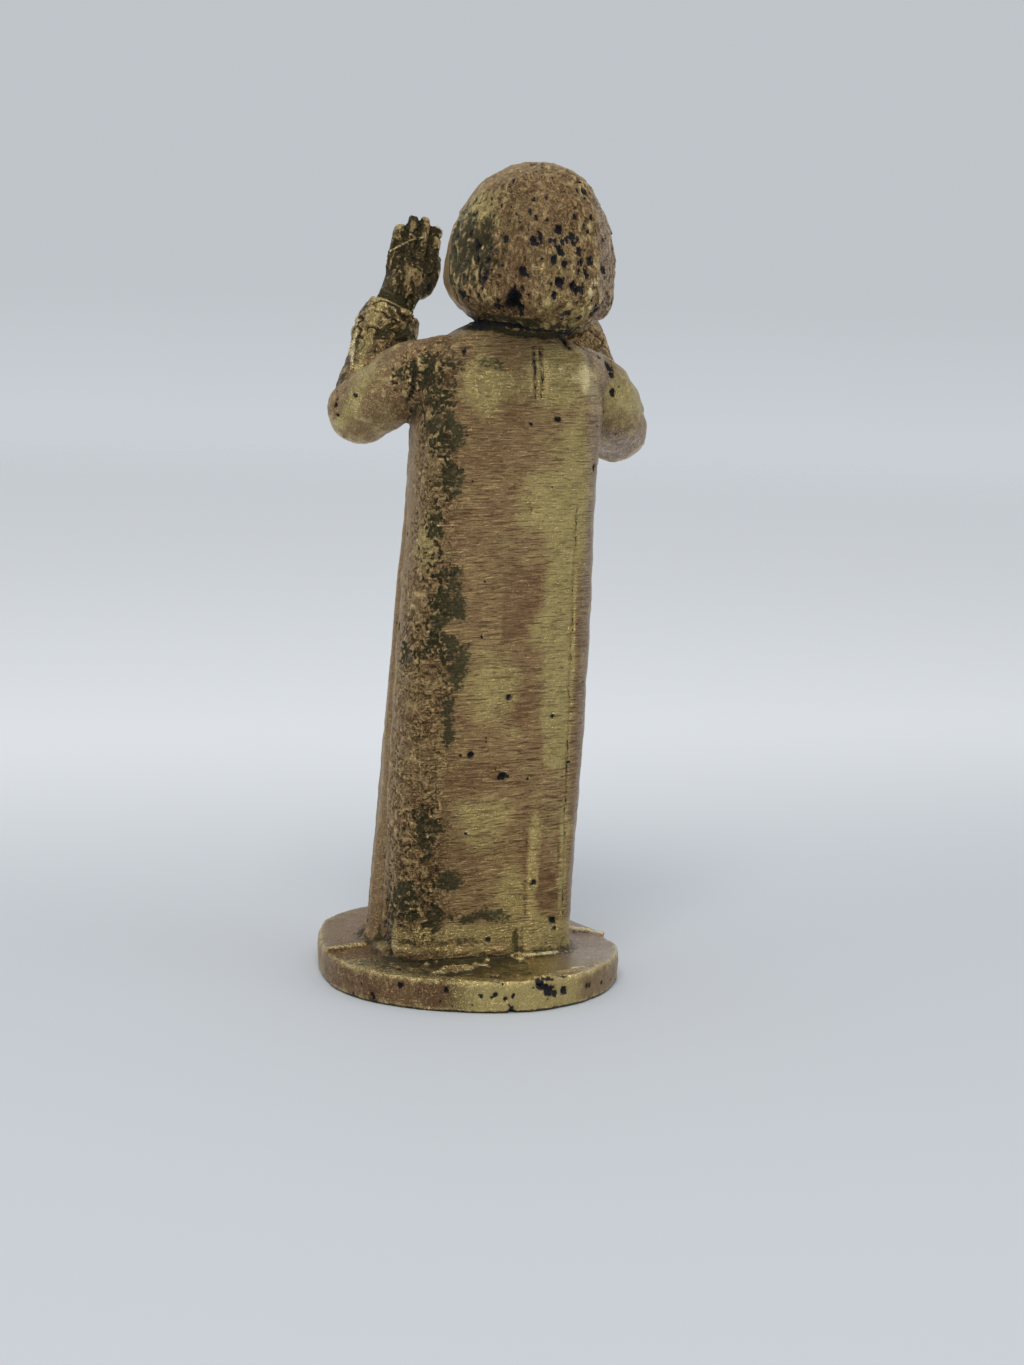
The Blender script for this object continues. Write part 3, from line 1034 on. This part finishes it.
class Paint:
    """A node tree and the one way to add to it."""

    def __init__(self, tree):
        self.tree = tree
        tree.nodes.clear()

    def node(self, kind, settings=None, sockets=None, output=0):
        node = self.tree.nodes.new(kind)
        for name, value in (settings or {}).items():
            if name == "stops":
                ramp = node.color_ramp
                while len(ramp.elements) < len(value):
                    ramp.elements.new(1.0)
                for element, (position, colour) in zip(ramp.elements, value):
                    element.position, element.color = position, colour
            else:
                setattr(node, name, value)
        for name, value in (sockets or {}).items():
            if isinstance(value, Wire):
                self.tree.links.new(value.socket, node.inputs[name])
            else:
                node.inputs[name].default_value = value
        return Wire(self, node.outputs[output]) if node.outputs else None

    def blend(self, share, one, two):
        return self.node("ShaderNodeMix", {"data_type": "RGBA"}, {0: share, 6: one, 7: two}, 2)

    def attribute(self, name):
        return self.node("ShaderNodeAttribute", {"attribute_name": name}, None, "Fac")

    def noise(self, where, scale, detail=2.0, rough=0.5, distortion=0.0):
        """Noise with lumps of about 1 / scale millimetres."""
        sockets = {"Vector": where, "Scale": scale, "Detail": detail}
        sockets.update({"Roughness": rough, "Distortion": distortion})
        return self.node("ShaderNodeTexNoise", None, sockets)

    def stretched(self, where, scale, turn=(0.0, 0.0, 0.0)):
        return self.node("ShaderNodeMapping", None, {"Vector": where, "Scale": scale, "Rotation": turn})


def brass_material(look):
    """Aged cast brass: brown skin, rubbed yellow places, green-black stains, file strokes and veins."""
    material = bpy.data.materials.new("aged_cast_brass")
    material.use_nodes = True
    paint = Paint(material.node_tree)
    where = paint.node("ShaderNodeTexCoord", None, None, "Object")
    mm = paint.node("ShaderNodeVectorMath", {"operation": "SCALE"}, {0: where, "Scale": 1.0 / MM})

    edge, form, halo, crust = (paint.attribute(name) for name in ("edge", "form", "halo", "crust"))
    filed, pit, crackle = (paint.attribute(name) for name in ("filed", "pit", "crackle"))
    rubbed_place, dark_place = (paint.attribute(name) for name in ("rubbed", "dark"))
    brown_place, mauve_place, glint = (paint.attribute(name) for name in ("brown", "mauve", "glint"))
    edge, form = edge * (1.0 - halo), form * (1.0 - halo * 0.8)

    blotch = paint.noise(mm, 0.38, 4.0, 0.62)
    mottle = paint.noise(mm, 1.15, 4.0, 0.66)
    grain = paint.noise(mm, 3.3, 4.0, 0.68, 0.4)
    speck = paint.noise(mm, 7.5, 2.0, 0.6)
    worms = abs(paint.noise(mm, 1.7, 2.6, 0.62, 1.6) - 0.5) * 2.0
    tilted = paint.stretched(mm, (1.0, 1.0, 1.0), (0.0, math.radians(-3.0), 0.0))
    strokes = paint.noise(paint.stretched(tilted, (0.9, 0.9, 9.2)), 1.0, 3.0, 0.7, 0.6)
    fine_strokes = paint.noise(paint.stretched(tilted, (2.4, 2.4, 17.0)), 1.0, 2.0, 0.6, 0.2)
    upright_strokes = paint.noise(paint.stretched(mm, (4.8, 4.8, 1.8)), 1.0, 3.0, 0.62, 0.4)

    # Shares of each finish
    calm = rubbed_place.most(brown_place).least(1.0)
    stroke_strength = filed * (1.0 - calm * 0.20)
    stroke_dark = strokes.between(0.50, 0.36) * stroke_strength
    stroke_light = strokes.between(0.53, 0.66) * stroke_strength
    vein = worms.between(0.16, 0.03) * (0.20 + crackle * 0.80) * (1.0 - calm * 0.5)
    light_vein = worms.between(0.16, 0.46) * (0.15 + crackle * 0.85) * (1.0 - halo)
    crust_dark = upright_strokes.between(0.46, 0.34) * crust
    crust_light = upright_strokes.between(0.54, 0.66) * crust
    rubbed = edge * 0.35 + form * 0.22 + (blotch - 0.5) * 0.50 + (mottle - 0.5) * 0.30
    rubbed = rubbed + (grain - 0.5) * 0.55 + rubbed_place * 1.02
    rubbed = (rubbed - stroke_dark * 0.40 - crackle * 0.22).between(0.0, 1.15)
    dark = dark_place * 1.08 - form * 0.35 - edge * 0.55 + (grain - 0.5) * 2.2 + (mottle - 0.5) * 0.9
    dark = (dark - light_vein * 0.45).between(0.34, 0.82)
    pitted = pit + ((grain - 0.5) * 1.2 + (upright_strokes - 0.5) * 1.8) * pit.between(0.0, 0.25)
    black = pitted.between(0.26, 0.46).most((speck.between(0.31, 0.24)) * (1.0 - calm * 0.4) * 0.7)

    metal = paint.blend((blotch * 0.5 + mottle * 0.5).between(0.33, 0.67), look.brown, look.olive)
    metal = paint.blend(brown_place * 0.95, metal, look.smooth_brown)
    metal = paint.blend(rubbed * 0.92, metal, look.polished)
    metal = paint.blend(mauve_place * (0.55 + mottle * 0.6), metal, look.mauve)
    metal = paint.blend(stroke_light * 0.50, metal, look.gold)
    metal = paint.blend(stroke_dark * 0.75, metal, look.umber)
    metal = paint.blend(vein * 0.90, metal, look.umber)
    metal = paint.blend(light_vein * 0.60 * (0.3 + grain * 1.2), metal, look.copper)
    metal = paint.blend(crust_dark * 0.62, metal, look.umber)
    metal = paint.blend(crust_light * 0.42, metal, look.gold)
    metal = paint.blend(edge.between(0.30, 1.0) * 0.6, metal, look.gold)
    colour = paint.blend(dark * 0.92, metal, paint.blend(speck.between(0.4, 0.6), look.stain, look.verdigris))
    colour = paint.blend(black, colour, look.pit)
    colour = paint.blend(glint.between(0.25, 0.75) * 0.85, colour, look.fresh)

    rough = 0.34 + (grain - 0.5) * 0.36 - rubbed * 0.06 - brown_place * 0.04 - mauve_place * 0.12
    rough = rough + stroke_dark * 0.12 + vein * 0.15 + dark * 0.14 + black * 0.30 - glint * 0.15
    metallic = 1.0 - dark * 0.12 - black * 0.9

    height = strokes * stroke_strength * 1.3 + fine_strokes * stroke_strength * 0.3
    height = height + (grain * 0.9 + speck * 0.35) * (1.0 - filed * 0.65) * (1.0 - rubbed * 0.3)
    height = height + worms * crackle * 0.9 - vein * 0.5 - dark * 0.15
    height = height + upright_strokes * (brown_place * (1.0 - filed) * 0.4 + crust * 1.1)
    bump = paint.node("ShaderNodeBump", None, {"Strength": 1.0, "Distance": 0.00022, "Height": height})

    shader = paint.node(
        "ShaderNodeBsdfPrincipled",
        None,
        {"Base Color": colour, "Roughness": rough, "Metallic": metallic, "Normal": bump},
    )
    paint.node("ShaderNodeOutputMaterial", None, {"Surface": shader})
    return material


class SaintSizes(bpy.types.PropertyGroup):
    cell: FloatProperty(
        name="Skin cell", description="Grid of the fused skin, mm", default=0.14, min=0.08, max=0.5
    )
    softening: IntProperty(
        name="Softening", description="Rounds of smoothing after the fuse", default=3, min=0, max=20
    )
    faces: IntProperty(name="Triangles", description="Triangles kept on the finished skin", default=196000)
    head_lumps: FloatProperty(
        name="Head lumps", description="Depth of the lumps on the head, mm", default=0.32, min=0.0
    )
    pit_depth: FloatProperty(name="Pit depth", description="Depth of the pits, as a share", default=1.0)


def colour_property(name, description, default):
    return FloatVectorProperty(
        name=name, description=description, subtype="COLOR", size=4, min=0, max=1, default=default
    )


class SaintLook(bpy.types.PropertyGroup):
    brown: colour_property("Brown", "Brown skin of the aged brass", (0.380, 0.236, 0.122, 1.0))
    olive: colour_property("Olive", "Olive skin of the aged brass", (0.410, 0.288, 0.136, 1.0))
    smooth_brown: colour_property("Smooth brown", "Brown patches without strokes", (0.275, 0.165, 0.084, 1.0))
    polished: colour_property("Polished", "Rubbed yellow-green brass", (0.540, 0.430, 0.175, 1.0))
    gold: colour_property("Gold", "Sharp worn edges", (0.80, 0.60, 0.27, 1.0))
    fresh: colour_property("Fresh", "Bare brass on seams and flash", (0.93, 0.78, 0.42, 1.0))
    copper: colour_property("Copper", "Worn skin between the veins", (0.60, 0.41, 0.21, 1.0))
    umber: colour_property("Umber", "Dirt in strokes and veins", (0.090, 0.048, 0.022, 1.0))
    stain: colour_property("Stain", "Dark stains", (0.055, 0.047, 0.022, 1.0))
    verdigris: colour_property("Verdigris", "Green in the dark stains", (0.080, 0.076, 0.036, 1.0))
    mauve: colour_property("Mauve", "Dull grey brown skin of hollows and flanks", (0.500, 0.385, 0.310, 1.0))
    pit: colour_property("Pit", "Bottom of the pits", (0.012, 0.011, 0.014, 1.0))


class SaintStage(bpy.types.PropertyGroup):
    floor: colour_property("Floor", "Pale floor", (0.645, 0.675, 0.710, 1.0))
    far_floor: colour_property("Far floor", "Floor beyond the figure", (0.95, 0.975, 1.0, 1.0))
    horizon: colour_property("Horizon", "Backdrop low down", (0.585, 0.620, 0.658, 1.0))
    sky: colour_property("Sky", "Backdrop above the figure", (0.520, 0.555, 0.585, 1.0))
    ceiling: colour_property("Ceiling", "Light overhead", (0.72, 0.73, 0.75, 1.0))
    dim_wall: colour_property("Dim wall", "Darker room behind the camera", (0.10, 0.10, 0.11, 1.0))
    overhead: FloatProperty(
        name="Overhead light", description="Power of the soft light above", default=0.47, unit="POWER"
    )
    side: FloatProperty(
        name="Side light", description="Power of the soft light from the side", default=0.04, unit="POWER"
    )


class SAINT_OT_cast_figure(bpy.types.Operator):
    """Casts the saint with its foot plate as one detailed piece"""

    bl_idname = "saint.cast_figure"
    bl_label = "Cast figure"

    def execute(self, context):
        sizes = context.scene.saint_sizes
        cell = sizes.cell
        mesh = fused_skin(cell, sizes.softening)
        place, normals = read_points(mesh), read_normals(mesh)
        carving = Carving(Regions(place, normals), sizes)
        place = place + normals * carving.relief[:, None]
        place[:, 2] = np.where(place[:, 2] < 0.03, 0.0, place[:, 2])
        write_points(mesh, np.clip(place, LOW, HIGH))
        write_attribute(mesh, "pit", carving.dirt)
        write_attribute(mesh, "halo", carving.halo)
        thing = new_object("skin", mesh)
        thin = thing.modifiers.new("Thin", "DECIMATE")
        thin.ratio = min(1.0, sizes.faces / (2.0 * len(mesh.polygons)))
        mesh = evaluated_mesh(thing)
        paint_attributes(mesh)
        mesh.transform(Matrix.Scale(MM, 4))
        mesh.name = "saint_casting"
        mesh.shade_smooth()
        mesh.materials.clear()
        mesh.materials.append(brass_material(context.scene.saint_look))
        casting = new_object("saint_casting", mesh)
        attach(casting, "root")
        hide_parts(NODE)
        return {"FINISHED"}


def area_light(name, place, target, size, power, colour):
    light = bpy.data.lights.new(name, "AREA")
    light.shape = "SQUARE"
    light.size, light.energy, light.color = size, power, colour
    thing = new_object(name, light)
    thing.location = place
    thing.rotation_euler = (Vector(target) - Vector(place)).to_track_quat("-Z", "Y").to_euler()


class SAINT_OT_set_stage(bpy.types.Operator):
    """Sets a pale floor and backdrop, soft lights and the camera behind the figure"""

    bl_idname = "saint.set_stage"
    bl_label = "Set stage"

    def execute(self, context):
        stage = context.scene.saint_stage
        bm = bmesh.new()
        bmesh.ops.create_circle(bm, cap_ends=True, segments=96, radius=6.0)
        mesh = bpy.data.meshes.new("floor")
        bm.to_mesh(mesh)
        bm.free()
        floor = new_object("floor", mesh)
        pale = bpy.data.materials.new("pale_floor")
        pale.use_nodes = True
        paint = Paint(pale.node_tree)
        where = paint.node("ShaderNodeTexCoord", None, None, "Object")
        mottle = paint.noise(where, 9.0, 2.0)
        dark_floor = [value * 0.97 for value in stage.floor[:3]] + [1.0]
        across = paint.node("ShaderNodeSeparateXYZ", None, {"Vector": where}, "Y")
        beyond = (across / MM).between(0.0, -125.0)
        colour = paint.blend(beyond, paint.blend(mottle, stage.floor, dark_floor), stage.far_floor)
        solid = paint.node("ShaderNodeBsdfPrincipled", None, {"Base Color": colour, "Roughness": 0.75})
        clear = paint.node("ShaderNodeBsdfTransparent")
        distance = paint.node("ShaderNodeVectorMath", {"operation": "LENGTH"}, {0: where}, "Value")
        fade = distance.between(0.4, 2.6)
        surface = paint.node("ShaderNodeMixShader", None, {0: fade, 1: solid, 2: clear})
        paint.node("ShaderNodeOutputMaterial", None, {"Surface": surface})
        mesh.materials.append(pale)

        world = bpy.data.worlds.new("studio")
        context.scene.world = world
        world.use_nodes = True
        paint = Paint(world.node_tree)
        direction = paint.node("ShaderNodeTexCoord", None, None, "Generated")
        lift = paint.node("ShaderNodeSeparateXYZ", None, {"Vector": direction}, "Z")
        toward = {0: direction, 1: DIM_SIDE}
        facing = paint.node("ShaderNodeVectorMath", {"operation": "DOT_PRODUCT"}, toward, "Value")
        dim = facing.between(0.35, 0.85) * lift.between(-0.05, 0.25)
        stops = ((0.0, stage.horizon), (0.06, stage.sky), (0.45, stage.sky), (0.78, stage.ceiling))
        ramp = paint.node("ShaderNodeValToRGB", {"stops": stops}, {"Fac": lift})
        light = paint.blend(dim * 0.45, ramp, stage.dim_wall)
        glow = paint.node("ShaderNodeBackground", None, {"Color": light, "Strength": 1.0})
        paint.node("ShaderNodeOutputWorld", None, {"Surface": glow})

        area_light("overhead", (0.08, 0.17, 0.32), (0, 0, 0.03), 0.15, stage.overhead, (1.0, 0.99, 0.97))
        area_light("side", (-0.26, 0.16, 0.16), (0, 0, 0.03), 0.16, stage.side, (0.96, 0.98, 1.0))

        heading, pitch, roll = (math.radians(angle) for angle in CAMERA_TURN)
        level_reach = math.cos(pitch)
        forward = Vector((math.sin(heading) * level_reach, math.cos(heading) * level_reach, math.sin(pitch)))
        level = Vector((math.cos(heading), -math.sin(heading), 0.0))
        rise = level.cross(forward)
        right = level * math.cos(roll) + rise * math.sin(roll)
        up = rise * math.cos(roll) - level * math.sin(roll)
        lens = bpy.data.cameras.new("photo_view")
        lens.sensor_width, lens.lens = CAMERA_SENSOR, CAMERA_LENS
        lens.clip_start = 0.01
        camera = new_object("photo_view", lens)
        camera.matrix_world = Matrix((right, up, -forward)).transposed().to_4x4()
        camera.location = Vector(CAMERA_PLACE) * MM
        context.scene.camera = camera
        context.scene.view_settings.view_transform = "Standard"
        return {"FINISHED"}


class SAINT_PT_panel(bpy.types.Panel):
    bl_label = "Brass saint"
    bl_idname = "SAINT_PT_panel"
    bl_space_type = "VIEW_3D"
    bl_region_type = "UI"
    bl_category = "Saint"

    def draw(self, context):
        for group in (context.scene.saint_sizes, context.scene.saint_look, context.scene.saint_stage):
            box = self.layout.box()
            for name in group.__annotations__:
                box.prop(group, name)
        self.layout.operator(SAINT_OT_cast_figure.bl_idname)
        self.layout.operator(SAINT_OT_set_stage.bl_idname)


GROUPS = {"saint_sizes": SaintSizes, "saint_look": SaintLook, "saint_stage": SaintStage}
CLASSES = (*GROUPS.values(), SAINT_OT_cast_figure, SAINT_OT_set_stage, SAINT_PT_panel)


def register():
    for cls in CLASSES:
        bpy.utils.register_class(cls)
    for name, group in GROUPS.items():
        setattr(bpy.types.Scene, name, PointerProperty(type=group))


def unregister():
    for name in GROUPS:
        delattr(bpy.types.Scene, name)
    for cls in reversed(CLASSES):
        bpy.utils.unregister_class(cls)


def main():
    register()
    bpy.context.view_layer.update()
    bpy.ops.saint.set_stage()
    bpy.ops.saint.cast_figure()


if __name__ == "__main__":
    main()
